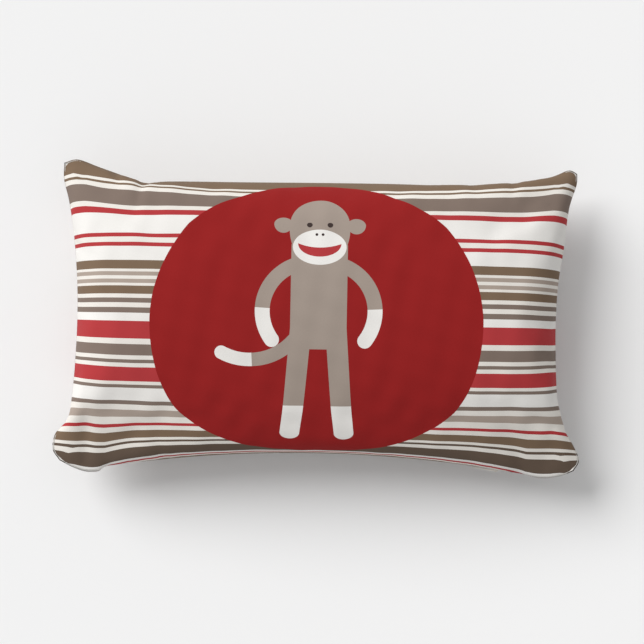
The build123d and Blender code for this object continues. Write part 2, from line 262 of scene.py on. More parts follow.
def cushion_shape():
    """Start and rest positions of both panels' vertices, the faces, and which vertices are on the rim."""
    pattern = pattern_grid()
    start = start_grid(pattern)
    rows, columns = start.shape[:2]
    i, j = border(rows, columns)
    on_rim = np.zeros((rows, columns), bool)
    on_rim[i, j] = True
    rise = start[..., 2] + np.where(on_rim, slot_rise(open_share(start)), 0)
    starts = np.vstack([np.dstack([start[..., :2], SEAM_Z + side * rise]).reshape(-1, 3) for side in (1, -1)])
    rests = np.vstack([np.dstack([pattern, 0 * rise]).reshape(-1, 3)] * 2)
    quads = grid_quads(rows, columns)
    count, rim = rows * columns, i * columns + j
    turned_over = (quads + count)[:, ::-1]
    faces = np.vstack([quads, np.roll(turned_over, 1, axis=1), band_quads(rim + count, rim)]).tolist()
    return starts, rests, faces, np.concatenate([on_rim.ravel()] * 2)


def new_mesh(name, points, faces):
    """Mesh object in the scene from points and faces, shaded smooth."""
    mesh = bpy.data.meshes.new(name)
    sizes = np.array([len(face) for face in faces], np.int32)
    corners = np.fromiter((number for face in faces for number in face), np.int32, int(sizes.sum()))
    mesh.vertices.add(len(points))
    mesh.vertices.foreach_set("co", np.asarray(points, np.float32).ravel())
    mesh.loops.add(len(corners))
    mesh.loops.foreach_set("vertex_index", corners)
    mesh.polygons.add(len(faces))
    mesh.polygons.foreach_set("loop_start", np.concatenate([[0], np.cumsum(sizes)[:-1]]).astype(np.int32))
    mesh.polygons.foreach_set("use_smooth", np.ones(len(faces), bool))
    mesh.update(calc_edges=True)
    piece = bpy.data.objects.new(name, mesh)
    bpy.context.scene.collection.objects.link(piece)
    return piece


def flat_start(rests):
    """Both flat panels, a hair apart and very slightly domed so that pressure knows which way is out."""
    half = len(rests) // 2
    u, v = abs(rests[:, 0]) / PATTERN_HALF[0], abs(rests[:, 1]) / PATTERN_HALF[1]
    lift = SEAM_HALF_GAP + FLAT_LIFT * np.sqrt(np.clip((1 - u) * (1 - v), 0, 1))
    side = np.where(np.arange(len(rests)) < half, 1, -1)
    return np.column_stack([rests[:, :2], SEAM_Z + side * lift])


def inflate(starts, rests, faces, on_rim):
    """Cloth simulation: a flat cover whose rim is drawn in to the stuffed outline while it is blown up."""
    ball = new_mesh("inflating", flat_start(rests), faces)
    ball.shape_key_add(name="Basis")
    stuffed = ball.shape_key_add(name="stuffed outline")
    stuffed.data.foreach_set("co", starts.astype(np.float32).ravel())
    for number, share in ((1, 0), (STUFFED_BY, 1)):
        stuffed.value = share
        stuffed.keyframe_insert("value", frame=number)
    pins = ball.vertex_groups.new(name="rim")
    pins.add([int(i) for i in np.nonzero(on_rim)[0]], 1.0, "REPLACE")
    cloth = ball.modifiers.new("Cloth", "CLOTH")
    settings = cloth.settings
    settings.quality = SOLVER_STEPS
    settings.vertex_group_mass = "rim"
    settings.effector_weights.gravity = 0
    settings.use_pressure = True
    settings.uniform_pressure_force = PRESSURE
    settings.tension_stiffness = STRETCH_STIFFNESS
    settings.compression_stiffness = STRETCH_STIFFNESS
    settings.bending_stiffness = BEND_STIFFNESS
    cloth.collision_settings.use_collision = False
    cloth.point_cache.frame_start = 1
    cloth.point_cache.frame_end = SIM_FRAMES
    scene = bpy.context.scene
    for number in range(1, SIM_FRAMES + 1):
        scene.frame_set(number)
    shown = ball.evaluated_get(bpy.context.evaluated_depsgraph_get())
    mesh = shown.to_mesh()
    points = np.empty(len(mesh.vertices) * 3, np.float32)
    mesh.vertices.foreach_get("co", points)
    shown.to_mesh_clear()
    bpy.data.objects.remove(ball)
    scene.frame_set(1)
    return points.reshape(-1, 3).astype(float)


# ---------------------------------------------------------------- from the simulated grid to fine sheets
FINER = 2
CORNER_CELLS = 6
SMOOTHING = 8
FLOOR_SOFTNESS = 3 * MM
INNER_RISE = 1.1
INNER_INSET = 1.5
PUCKER = 0.2 * MM
PUCKER_LENGTH = 11 * MM
PUCKER_REACH = 8 * MM
PUCKER_FROM = 2 * MM
RIM_SLOPE = 0.5
RIM_REACH = 12 * MM
UNDULATION = 0.55 * MM
UNDULATION_LENGTH = 68 * MM
UNDULATION_FROM = 25 * MM

# A second ripple beside the seam, as shares of the first one's height and pace, and how the first one wanders
SECOND_RIPPLE = (0.6, 0.61)
RIPPLE_WANDER = (2, 2.3)

# Lumps of stuffing: how far their rows sway, how fast, and their length against their width
COVER_LUMPS = {"sway": (0.35, 0.3), "pace": (2.1, 2.7), "stretch": 0.8}
FIBRE_LUMPS = {"sway": (0.4, 0.3), "pace": (3, 4), "stretch": 1}
SLANTED_LUMPS = {"height": 0.6, "rows": (1.7, 1.1), "columns": (0.9, -1.6)}

# Folds, in millimetres on the pattern: outer end, inner end, depth, width
FRONT_CREASES = [
    ((-172, 160), (-184, 92), 4.5, 6), ((-207, 160), (-196, 122), 3, 5), ((-232, -158), (-226, -62), 3.5, 8),
    ((-150, -158), (-163, -112), 1.6, 7), ((196, 160), (186, 112), 2.4, 6), ((150, 160), (156, 118), 1.6, 7),
    ((232, 120), (176, 84), 1.8, 8), ((236, -112), (180, -74), 2.4, 8), ((206, -158), (188, -104), 2.2, 7),
    ((-250, -60), (-196, -44), 1.2, 7), ((252, 30), (204, 22), 1.2, 7), ((-252, 70), (-200, 52), 1.4, 7),
]
BACK_CREASES = [((-u, v), (-p, q), depth, width) for (u, v), (p, q), depth, width in FRONT_CREASES]


def finer(grid):
    """The same sheet with FINER times as many cells each way."""
    return eased_between(eased_between(grid, FINER).swapaxes(0, 1), FINER).swapaxes(0, 1)


def smoothed(grid, passes):
    """Evens out the grid's inner points, and leaves its rim alone."""
    grid = grid.copy()
    for _ in range(passes):
        around = (grid[:-2, 1:-1] + grid[2:, 1:-1] + grid[1:-1, :-2] + grid[1:-1, 2:]) / 4
        grid[1:-1, 1:-1] = (grid[1:-1, 1:-1] + around) / 2
    return grid


def outward(grid, side):
    """Unit normals of a sheet, up for the front panel and down for the back one."""
    return unit(np.cross(np.gradient(grid, axis=0), np.gradient(grid, axis=1)) * side)


def rim_depth(grid):
    """How far inside the rim each point of a sheet is on the pattern, by rings of cells: 0 all round."""
    s = np.linspace(-1, 1, grid.shape[0])[:, None]
    t = np.linspace(-1, 1, grid.shape[1])[None, :]
    return np.minimum((1 - abs(s)) * PATTERN_HALF[0], (1 - abs(t)) * PATTERN_HALF[1])


def pushed_out(grid, side, lift, calm):
    """A sheet with its points moved along its normals, and less so within a distance of its rim."""
    still = 1 - np.exp(-rim_depth(grid) / calm)
    return grid + outward(grid, side) * (lift * still)[..., None]


def puckered(grid, side):
    """Small ripples that a sewn seam draws into the cloth beside it, dying out inwards."""
    lift = np.zeros(grid.shape[:2])
    for across, along in ((0, 1), (1, 0)):
        depth = PATTERN_HALF[across] - abs(PATTERN[..., across])
        place = PATTERN[..., along] / PUCKER_LENGTH
        ripple = np.sin(math.tau * place + RIPPLE_WANDER[0] * np.sin(RIPPLE_WANDER[1] * place))
        ripple += SECOND_RIPPLE[0] * np.sin(math.tau * SECOND_RIPPLE[1] * place + side)
        lift += ripple * np.exp(-depth / PUCKER_REACH)
    return pushed_out(grid, side, PUCKER * lift, PUCKER_FROM)


def creased(grid, side, creases):
    """Shallow folds that run in from the edges: each has two ends on the pattern, a depth and a width."""
    sunk = np.zeros(grid.shape[:2])
    for start, end, depth, width in creases:
        start, end = np.array(start) * MM, np.array(end) * MM
        run = end - start
        share = np.clip(((PATTERN - start) @ run) / (run @ run), 0, 1)
        gap = np.linalg.norm(PATTERN - start - share[..., None] * run, axis=-1)
        sunk += depth * MM * np.exp(-((gap / (width * MM)) ** 2)) * (1 - share)
    return pushed_out(grid, side, -sunk, RIM_REACH)


def lumps(x, y, phase, sway, pace, stretch):
    """Swaying rows of smooth lumps, from -1 to 1."""
    rows = np.sin(math.tau * (x + sway[0] * np.sin(pace[0] * y) + phase))
    return rows * np.sin(math.tau * (stretch * y + sway[1] * np.sin(pace[1] * x)))


def undulating(grid, side):
    """Broad, very low lumps of stuffing that show through the cloth."""
    u, v = PATTERN[..., 0] / UNDULATION_LENGTH, PATTERN[..., 1] / UNDULATION_LENGTH
    lift = lumps(u, v, side / 5, **COVER_LUMPS)
    rows, columns = (np.sin(math.tau * (SLANTED_LUMPS[k][0] * u + SLANTED_LUMPS[k][1] * v))
                     for k in ("rows", "columns"))
    lift += SLANTED_LUMPS["height"] * rows * columns
    return pushed_out(grid, side, UNDULATION * lift, UNDULATION_FROM)


def kept_apart(grid, side):
    """Keeps a panel on its own side of the seam plane, rising from its rim at least at a low slope."""
    depth = rim_depth(grid)
    lowest = SEAM_HALF_GAP + RIM_SLOPE * np.minimum(depth, RIM_REACH)
    height = side * (grid[..., 2] - SEAM_Z)
    grid = grid.copy()
    grid[..., 2] = np.where(depth > 0, SEAM_Z + side * np.maximum(height, lowest), grid[..., 2])
    return grid


def on_floor(grid):
    """Presses the lowest part of a sheet softly flat on the floor."""
    grid = grid.copy()
    z = grid[..., 2]
    grid[..., 2] = (z + np.sqrt(z**2 + FLOOR_SOFTNESS**2)) / 2
    grid[..., 2] -= max(grid[..., 2].min(), 0)
    return grid


def inward_from(loop):
    """Plan directions that point into the loop, turning gently round its corners."""
    tangent = np.roll(loop, -1, axis=0) - np.roll(loop, 1, axis=0)
    inward = unit(np.column_stack([-tangent[:, 1], tangent[:, 0]]))
    reach = CORNER_CELLS * FINER
    return unit(sum(np.roll(inward, shift, axis=0) for shift in range(-reach, reach + 1)))


def print_place(pattern):
    """Where a place on the pattern falls in the print.

    Beside the long edges the real cushion shows a little more cloth than the simulation gives, so the print
    is drawn closer together there, most in the middle and not at all in the corners.
    """
    u, v = pattern[..., 0], pattern[..., 1]
    past = PRINT_SHARE * np.maximum(abs(v) - PRINT_FROM, 0)
    more = {}
    for name, part in (("upper", UPPER_PRINT), ("lower", LOWER_PRINT)):
        middle = np.clip(1 - abs(u / part["reach"]) ** part["power"], 0, 1)
        more[name] = np.minimum(past, part["most"]) * middle
    return np.stack([u, v + np.where(v > 0, more["upper"], -more["lower"]), 0 * u], -1)


def set_print(piece, places):
    """Stores each point's place in the print, in millimetres, for the materials to read."""
    attribute = piece.data.attributes.new("print_place", "FLOAT_VECTOR", "POINT")
    attribute.data.foreach_set("vector", (np.asarray(places) / MM).astype(np.float32).ravel())


def cloth_shell(name, grid, side, cloth, seam_reach, zipped):
    """Closed sheet of cloth over one face, with its seam allowance (and hem at the zip) turned in."""
    rows, columns = grid.shape[:2]
    i, j = border(rows, columns)
    rim = grid[i, j]
    share = open_share(rim) if zipped else np.zeros(len(rim))
    rise = slot_rise(share)
    reach = seam_reach + (HEM - seam_reach) * share
    inward = inward_from(rim[:, :2])
    inner = grid - outward(grid, side) * cloth
    lowest = slot_rise(open_share(inner) if zipped else 0) + INNER_RISE * cloth
    inner[..., 2] = SEAM_Z + side * np.maximum(side * (inner[..., 2] - SEAM_Z), lowest)

    def loop(depth, height):
        return np.column_stack([rim[:, :2] + inward * np.reshape(depth, (-1, 1)), SEAM_Z + side * height])

    inner[i, j] = loop(INNER_INSET * cloth, rise + INNER_RISE * cloth)
    loops = [loop(reach / 3, rise), loop(2 * reach / 3, rise), loop(reach, rise),
             loop(reach, rise + cloth), loop(2 * reach / 3, rise + cloth), loop(reach / 3, rise + cloth)]
    points = np.vstack([grid.reshape(-1, 3), inner.reshape(-1, 3)] + loops)
    total = rows * columns
    outer_rim = i * columns + j
    loop_ids = list(2 * total + np.arange(len(loops) * len(rim)).reshape(len(loops), -1))
    chain = [outer_rim] + loop_ids + [total + outer_rim]
    outer_faces, inner_faces = grid_quads(rows, columns), grid_quads(rows, columns, total)
    bands = [band_quads(one, other) for one, other in zip(chain, chain[1:])]
    piece = new_mesh(name, points, np.vstack([outer_faces, inner_faces] + bands).tolist())
    reverse = np.repeat([0, 1, 0, 1], [len(outer_faces), len(inner_faces), 3 * len(rim), 4 * len(rim)])
    piece.data.polygons.foreach_set("material_index", reverse.astype(np.int32))
    places = print_place(PATTERN).reshape(-1, 3)
    set_print(piece, np.vstack([places, places] + [places[outer_rim]] * len(loops)))
    face_outwards(piece)
    return piece


def face_outwards(piece):
    """Turns every face of a closed mesh outwards."""
    shape = bmesh.new()
    shape.from_mesh(piece.data)
    bmesh.ops.recalc_face_normals(shape, faces=shape.faces)
    shape.to_mesh(piece.data)
    shape.free()


def shrunk(grid, inset, gap):
    """The same sheet drawn in from its rim by an inset and sunk from its crown by a gap."""
    small = grid.copy()
    half = abs(grid[..., :2]).reshape(-1, 2).max(0) - CORNER_REACH
    small[..., :2] *= 1 - inset / half
    small[..., 2] = SEAM_Z + (grid[..., 2] - SEAM_Z) * (1 - gap / CROWN_RISE)
    return small


def blunted(grid):
    """The same sheet with its corners drawn in along X, clear of the cover's seam allowance."""
    blunt = grid.copy()
    reach = abs(grid[..., 0])
    past = BLUNT_OVER * np.tanh(np.maximum(reach - BLUNT_FROM, 0) / BLUNT_OVER)
    blunt[..., 0] = np.sign(grid[..., 0]) * (np.minimum(reach, BLUNT_FROM) + past)
    return blunt


def tube(path, guide, radius, sides=6):
    """Points and faces of a cord along a path. The guide is a direction that the path never follows."""
    tangent = unit(np.gradient(path, axis=0))
    first = unit(np.cross(tangent, guide))
    second = np.cross(tangent, first)
    angle = np.arange(sides) * math.tau / sides
    ring = np.cos(angle)[None, :, None] * first[:, None] + np.sin(angle)[None, :, None] * second[:, None]
    points = (path[:, None] + radius * ring).reshape(-1, 3)
    count = len(path)
    ids = np.arange(count * sides).reshape(count, sides)
    across = np.roll(ids, -1, axis=1)
    faces = np.stack([ids[:-1], across[:-1], across[1:], ids[1:]], -1).reshape(-1, 4).tolist()
    return points, faces + [ids[0].tolist(), ids[-1][::-1].tolist()]


def joined(name, parts):
    """One piece from several (points, faces) pairs."""
    points, faces, first = [], [], 0
    for part_points, part_faces in parts:
        points.append(part_points)
        faces += [[number + first for number in face] for face in part_faces]
        first += len(part_points)
    piece = new_mesh(name, np.vstack(points), faces)
    face_outwards(piece)
    return piece


# ---------------------------------------------------------------- the two simulated panels
BULGE_IN = 7 * MM
BULGE_HEIGHT = 11 * MM
BULGE_FROM, BULGE_OVER = 70 * MM, 60 * MM


def tucked_over_zip(points):
    """Draws the bulge over the zipped edge back in, as the zip's stiff tape does."""
    points = points.copy()
    height = np.maximum(abs(points[:, 2] - SEAM_Z) - SLOT_RISE, 0)
    near = smooth_step(np.clip((-points[:, 1] - BULGE_FROM) / BULGE_OVER, 0, 1))
    points[:, 1] += BULGE_IN * (1 - np.exp(-height / BULGE_HEIGHT)) * near
    return points


starts, rests, faces, on_rim = cushion_shape()
points = tucked_over_zip(inflate(starts, rests, faces, on_rim))
panel_points = points.reshape(2, CELLS[0] + 1, CELLS[1] + 1, 3)
PATTERN = finer(pattern_grid())


def panel_surface(points, side, creases):
    """A panel's fine sheet, from its simulated points."""
    sheet = finer(smoothed(kept_apart(points, side), SMOOTHING))
    return puckered(creased(undulating(sheet, side), side, creases), side)


FRONT = panel_surface(panel_points[0], 1, FRONT_CREASES)
BACK = on_floor(panel_surface(panel_points[1], -1, BACK_CREASES))
CROWN_RISE = FRONT[..., 2].max() - SEAM_Z
RIM = FRONT[border(*FRONT.shape[:2])]
RIM_INWARD = inward_from(RIM[:, :2])

front_cover = cloth_shell("cover_front_cloth", FRONT, 1, CLOTH, ALLOWANCE, True)
back_cover = cloth_shell("cover_back_cloth", BACK, -1, CLOTH, ALLOWANCE, True)

# Insert: the same two sheets, drawn in from the cover's rim
INSERT_INSET = 21 * MM
INSERT_GAP = 1.4 * MM
CORNER_REACH = (25 * MM, 20 * MM)
BLUNT_FROM, BLUNT_OVER = 208 * MM, 17 * MM
INSERT_CLOTH = 0.4 * MM
INSERT_ALLOWANCE = 6 * MM
FILL_INSET = 8 * MM
FILL_GAP = 3 * MM
FILL_RIM = 3 * INSERT_CLOTH
LUMP = 0.8 * MM
LUMP_LENGTH = 42 * MM

INSERT_FRONT = blunted(shrunk(FRONT, INSERT_INSET, INSERT_GAP))
INSERT_BACK = blunted(shrunk(BACK, INSERT_INSET, INSERT_GAP))
for sheet, side in ((INSERT_FRONT, 1), (INSERT_BACK, -1)):
    i, j = border(*sheet.shape[:2])
    sheet[i, j, 2] = SEAM_Z + side * SEAM_HALF_GAP
insert_front = cloth_shell("insert_front_cloth", INSERT_FRONT, 1, INSERT_CLOTH, INSERT_ALLOWANCE, False)
insert_back = cloth_shell("insert_back_cloth", INSERT_BACK, -1, INSERT_CLOTH, INSERT_ALLOWANCE, False)


def lumpy(sheet, side):
    """Soft lumps that loose stuffing pushes into its surface."""
    x, y = sheet[..., 0] / LUMP_LENGTH, sheet[..., 1] / LUMP_LENGTH
    return sheet - outward(sheet, side) * (LUMP * (1 + lumps(x, y, side / 3, **FIBRE_LUMPS)))[..., None]


def stuffing():
    """The fibre stuffing as one soft closed shape."""
    sheets = []
    for insert, side in ((INSERT_FRONT, 1), (INSERT_BACK, -1)):
        sheet = lumpy(shrunk(insert, FILL_INSET, FILL_GAP), side)
        i, j = border(*sheet.shape[:2])
        sheet[i, j, 2] = SEAM_Z + side * FILL_RIM
        sheets.append(sheet.reshape(-1, 3))
    rows, columns = INSERT_FRONT.shape[:2]
    total, rim = rows * columns, i * columns + j
    quads = [grid_quads(rows, columns), grid_quads(rows, columns, total), band_quads(rim, rim + total)]
    piece = new_mesh("fibre_stuffing", np.vstack(sheets), np.vstack(quads).tolist())
    face_outwards(piece)
    return piece


fill = stuffing()

# ---------------------------------------------------------------- sewing
THREAD = 0.2 * MM
SEAM_STITCH = 3 * MM
SEAM_INSET = 1.4 * MM
OVERLOCK_PITCH = 3 * MM
OVERLOCK_THREAD = 0.18 * MM
OVERLOCK_REACH = 1.9 * MM
STEPS_PER_TURN = 8
STEPS_PER_STITCH = 4
THREAD_LIE = 0.3
OVERLOCK_LIE = 1.2
STITCH_SIDES = 5


def resampled(path, step):
    """The path with points at an even spacing, and their distances along it."""
    total = lengths_along(path)[-1]
    places = np.linspace(0, total, max(int(total / step), 2) + 1)
    return at_lengths(path, places), places


def sewn_stretch(rim, inward, zipped):
    """Rim places and inward directions of the sewn part of a seam, from one end of the zip to the other."""
    if not zipped:
        return np.vstack([rim, rim[:1]]), np.vstack([inward, inward[:1]])
    sewn = (rim[:, 1] > 0) | (abs(rim[:, 0]) > SEWN_FROM)
    first = int(np.nonzero(sewn & ~np.roll(sewn, 1))[0][0])
    order = (np.arange(len(rim)) + first) % len(rim)
    order = order[sewn[order]]
    return rim[order], inward[order]


def thread_rise(places, stitch):
    """How high a lockstitch's thread stands off the cloth, dipping into it at every stitch."""
    return THREAD * (THREAD_LIE + np.sqrt(abs(np.sin(math.pi * places / stitch))))


def seam_stitches(name, rim, inward, cloth, zipped):
    """Needle thread above both allowances and bobbin thread below them."""
    rim, inward = sewn_stretch(rim, inward, zipped)
    both, places = resampled(np.column_stack([rim[:, :2], inward]), SEAM_STITCH / STEPS_PER_STITCH)
    line = both[:, :2] + both[:, 2:] * SEAM_INSET
    rise = SEAM_HALF_GAP + cloth + thread_rise(places, SEAM_STITCH)
    parts = []
    for side in (1, -1):
        path = np.column_stack([line, SEAM_Z + side * rise])
        parts.append(tube(path, (0, 0, 1), THREAD, STITCH_SIDES))
    return joined(name, parts)


def overlock_stitches():
    """Thread wound round the raw edges of both allowances."""
    rim, inward = sewn_stretch(RIM, RIM_INWARD, True)
    both, places = resampled(np.column_stack([rim[:, :2], inward]), OVERLOCK_PITCH / STEPS_PER_TURN)
    turn = math.tau * places / OVERLOCK_PITCH
    crest = SEAM_HALF_GAP + CLOTH + OVERLOCK_THREAD * OVERLOCK_LIE
    depth = ALLOWANCE - OVERLOCK_REACH + 2 * OVERLOCK_THREAD + OVERLOCK_REACH * np.cos(turn)
    height = crest * np.sin(turn) ** 3
    height = np.where(depth < ALLOWANCE, np.sign(height) * crest, height)
    path = np.column_stack([both[:, :2] + both[:, 2:] * depth[:, None], SEAM_Z + height])
    ahead = np.column_stack([both[:, 3], -both[:, 2], 0 * places])
    return joined("cover_overlock_stitches", [tube(path, ahead, OVERLOCK_THREAD, STITCH_SIDES)])


seam = seam_stitches("cover_seam_stitches", RIM, RIM_INWARD, CLOTH, True)
overlock = overlock_stitches()
INSERT_RIM = INSERT_FRONT[border(*INSERT_FRONT.shape[:2])]
insert_seam = seam_stitches(
    "insert_seam_stitches", INSERT_RIM, inward_from(INSERT_RIM[:, :2]), INSERT_CLOTH, False)

# ---------------------------------------------------------------- zip
COIL_PITCH = 1.3 * MM
COIL_WIRE = 0.31 * MM
HEM_STITCH = 2.8 * MM
HEM_STITCH_DEPTH = 8 * MM
TAPE_CLOTH = 0.4 * MM


def along_track(along, depth, rise):
    """Points on the zip's track, at depths inside the cover's edge and rises from the seam plane."""
    plan = track_xy(along, depth)
    return np.column_stack([plan, SEAM_Z + rise + 0 * along])


def track_ahead(along):
    """Direction along the zip's track."""
    turn = along / EDGE_RADIUS
    return np.column_stack([np.cos(turn), -np.sin(turn), 0 * along])


def coil(name, side):
    """Nylon monofilament wound in a spiral, clear of the gap that the slider's post runs in."""
    turns = 2 * CHAIN_HALF / COIL_PITCH
    turn = np.linspace(0, math.tau * turns, int(turns * STEPS_PER_TURN) + 1)
    along = -CHAIN_HALF + COIL_PITCH * (turn / math.tau + (0.5 if side < 0 else 0))
    along = np.minimum(along, CHAIN_HALF)
    depth = (COIL_FRONT + COIL_BACK) / 2 + ((COIL_BACK - COIL_FRONT) / 2 - COIL_WIRE) * np.sin(turn)
    low, high = COIL_BOTTOM + COIL_WIRE, COIL_TOP - COIL_WIRE
    rise = (low + high) / 2 - (high - low) / 2 * np.cos(turn)
    return joined(name, [tube(along_track(along, depth, side * rise), track_ahead(along), COIL_WIRE)])


def hem_stitches(name, side):
    """Lockstitch that holds the hem to the tape: a thread on the hem and one under the tape."""
    along = np.arange(-CHAIN_HALF, CHAIN_HALF, HEM_STITCH / STEPS_PER_TURN)
    thread = thread_rise(along, HEM_STITCH)
    parts = []
    for rise in (SLOT_RISE + CLOTH + thread, TAPE_TOP - TAPE_CLOTH - thread):
        parts.append(tube(along_track(along, HEM_STITCH_DEPTH, side * rise), (0, 0, 1), THREAD))
    return joined(name, parts)


coils = [coil("zip_coil_front_spiral", 1), coil("zip_coil_back_spiral", -1)]
hems = [hem_stitches("zip_hem_stitches_front", 1), hem_stitches("zip_hem_stitches_back", -1)]

# ---------------------------------------------------------------- materials
INK = {
    "cream": (0.74, 0.705, 0.655),
    "white": (0.765, 0.745, 0.715),
    "brown": (0.182, 0.123, 0.080),
    "taupe": (0.20, 0.152, 0.126),
    "umber": (0.118, 0.084, 0.062),
    "light": (0.37, 0.305, 0.26),
    "red": (0.41, 0.040, 0.044),
    "disc": (0.275, 0.0135, 0.0135),
    "monkey": (0.335, 0.277, 0.237),
    "dark": (0.05, 0.035, 0.032),
}

# Printed stripes from the top edge of the pattern down: width in millimetres and ink
STRIPES = [
    (19.5, "brown"), (3.5, "cream"), (2.5, "brown"), (5, "cream"), (18.5, "taupe"), (5.5, "cream"),
    (7, "red"), (21, "white"), (4, "red"), (5.5, "cream"), (4, "red"), (13.5, "white"), (9, "brown"),
    (2.5, "cream"), (4, "light"), (3, "cream"), (4, "light"), (2.5, "cream"), (8.5, "brown"),
    (3.5, "cream"), (4.5, "taupe"), (5, "cream"), (5, "taupe"), (8.5, "white"), (16.5, "red"), (6, "cream"),
    (10.5, "taupe"), (4.5, "cream"), (3, "taupe"), (4.5, "cream"), (14.5, "red"), (3.5, "cream"),
    (3, "taupe"), (14.5, "white"), (5, "taupe"), (7, "cream"), (9.5, "light"), (8.5, "cream"), (4.5, "red"),
    (6, "cream"), (9.5, "brown"), (3.5, "cream"), (3, "umber"), (4.5, "cream"), (14.5, "umber"),
    (4, "white"), (4.5, "red"), (5, "cream"), (6, "brown"),
]

# A colour ramp holds 32 stops at most, so the stripes are shared out over two
RAMP_STOPS = 24


class Paint:
    """One material, with plain calls that add nodes to it."""

    def __init__(self, name):
        self.material = bpy.data.materials.new(name)
        self.material.use_nodes = True
        self.tree = self.material.node_tree
        self.shader = self.tree.nodes["Principled BSDF"]

    def put(self, socket, value):
        if isinstance(value, bpy.types.NodeSocket):
            self.tree.links.new(value, socket)
        else:
            socket.default_value = value

    def node(self, kind, **settings):
        made = self.tree.nodes.new("ShaderNode" + kind)
        for name, value in settings.items():
            setattr(made, name, value)
        return made

    def maths(self, operation, *values):
        made = self.node("Math", operation=operation)
        for socket, value in zip(made.inputs, values):
            self.put(socket, value)
        return made.outputs[0]

    def vectors(self, operation, *values):
        made = self.node("VectorMath", operation=operation)
        for socket, value in zip(made.inputs, values):
            self.put(socket, value)
        single = operation in ("DOT_PRODUCT", "LENGTH", "DISTANCE")
        return made.outputs["Value" if single else "Vector"]

    def scaled(self, vector, scale):
        made = self.node("VectorMath", operation="SCALE")
        self.put(made.inputs[0], vector)
        self.put(made.inputs["Scale"], scale)
        return made.outputs["Vector"]

    def blend(self, share, first, second, kind="MIX"):
        made = self.node("Mix", data_type="RGBA", blend_type=kind)
        for number, value in ((0, share), (6, first), (7, second)):
            value = (*value, 1) if isinstance(value, tuple) and len(value) == 3 else value
            self.put(made.inputs[number], value)
        return made.outputs[2]

    def noise(self, place, size, detail=2.0):
        made = self.node("TexNoise")
        self.put(made.inputs["Vector"], place)
        made.inputs["Scale"].default_value = 1 / size
        made.inputs["Detail"].default_value = detail
        return made.outputs["Fac"]

    def either(self, *masks):
        total = masks[0]
        for mask in masks[1:]:
            total = self.maths("MAXIMUM", total, mask)
        return total

    def both(self, first, second):
        return self.maths("MULTIPLY", first, second)

    def print_place(self):
        """Place in the print, in millimetres."""
        return self.node("Attribute", attribute_name="print_place").outputs["Vector"]

    def object_place(self):
        """Place in the frame, in millimetres."""
        return self.scaled(self.node("TexCoord").outputs["Object"], 1 / MM)

    def split(self, vector):
        """The parts of a vector, as x, y and z."""
        made = self.node("SeparateXYZ")
        self.put(made.inputs[0], vector)
        return made.outputs

    def added(self, base, share, value):
        """base + share x value"""
        return self.maths("ADD", base, self.maths("MULTIPLY", share, value))

    def look(self, **inputs):
        """Sets inputs of the shader, whose names have _ for each space."""
        for name, value in inputs.items():
            self.put(self.shader.inputs[name.replace("_", " ")], value)

    def bump(self, height, distance):
        made = self.node("Bump")
        made.inputs["Distance"].default_value = distance
        self.put(made.inputs["Height"], height)
        self.look(Normal=made.outputs["Normal"])


def weave(paint, place, thread):
    """Height of a plain weave at a place: threads over and under each other by turns."""
    parts = paint.split(place)
    waves = [paint.maths("SINE", paint.maths("MULTIPLY", parts[k], math.pi / thread)) for k in (0, 1)]
    return paint.maths("MULTIPLY", *waves)


# How much the slubs and broad faded patches (with their size in millimetres) vary a cloth, and how strongly
# painted shade follows its weave: darker in the hollows, lighter on the crests
CLOTH_SHADE = 0.93
SLUB_SHADE, FADE_SHADE, WEAVE_PAINTED_SHADE = 0.08, 0.05, 0.025
SLUB_GLOSS = 0.1
FADE_SIZE = 45.0


def woven(paint, colour, place, thread, depth, roughness=0.85, sheen=0.02):
    """Finishes a woven cloth: weave, uneven threads, faint uneven shade, painted shade in the weave's
    hollows, matte sheen.
    """
    crossing = weave(paint, place, thread)
    slub = paint.noise(place, 2 * thread, 3.0)
    patch = paint.noise(place, FADE_SIZE)
    shade = CLOTH_SHADE
    # The weave's own height also darkens the colour in its hollows and lightens it on its crests: painted
    # shade.
    for share, pattern in ((SLUB_SHADE, slub), (FADE_SHADE, patch), (WEAVE_PAINTED_SHADE, crossing)):
        shade = paint.added(shade, share, pattern)
    tone_and_painted_shade = paint.node("CombineColor")
    for socket in tone_and_painted_shade.inputs:
        paint.put(socket, shade)
    paint.look(
        Base_Color=paint.blend(1.0, colour, tone_and_painted_shade.outputs[0], "MULTIPLY"),
        Roughness=paint.added(roughness - SLUB_GLOSS / 2, SLUB_GLOSS, slub),
        Sheen_Weight=sheen, Sheen_Roughness=0.5, Specular_IOR_Level=0.1)
    paint.bump(paint.added(crossing, 0.8, slub), depth)
    return paint.material


def striped(paint, v):
    """Ink of the printed stripes at a height v on the pattern, from two constant colour ramps."""
    colours = []
    top = PATTERN_HALF[1] / MM
    for part in (STRIPES[:RAMP_STOPS], STRIPES[RAMP_STOPS:]):
        span = sum(width for width, _ in part)
        ramp = paint.node("ValToRGB")
        share = paint.maths("DIVIDE", paint.maths("SUBTRACT", top, v), span)
        paint.put(ramp.inputs[0], share)
        ramp.color_ramp.interpolation = "CONSTANT"
        at = 0.0
        for number, (width, ink) in enumerate(part):
            stop = ramp.color_ramp.elements[0] if number == 0 else ramp.color_ramp.elements.new(at / span)
            stop.position = at / span
            stop.color = (*INK[ink], 1)
            at += width
        ramp.color_ramp.elements.remove(ramp.color_ramp.elements[-1])
        colours.append((ramp.outputs[0], top))
        top -= span
    below = paint.maths("LESS_THAN", v, colours[1][1])
    return paint.blend(below, colours[0][0], colours[1][0])


def in_circle(paint, place, centre, radius):
    """Inside a circle."""
    return paint.maths("LESS_THAN", paint.vectors("DISTANCE", place, (*centre, 0)), radius)


def in_ellipse(paint, place, centre, half):
    """Inside an ellipse."""
    scaled = paint.vectors("DIVIDE", paint.vectors("SUBTRACT", place, (*centre, 0)), (*half, 1))
    return paint.maths("LESS_THAN", paint.vectors("LENGTH", scaled), 1.0)


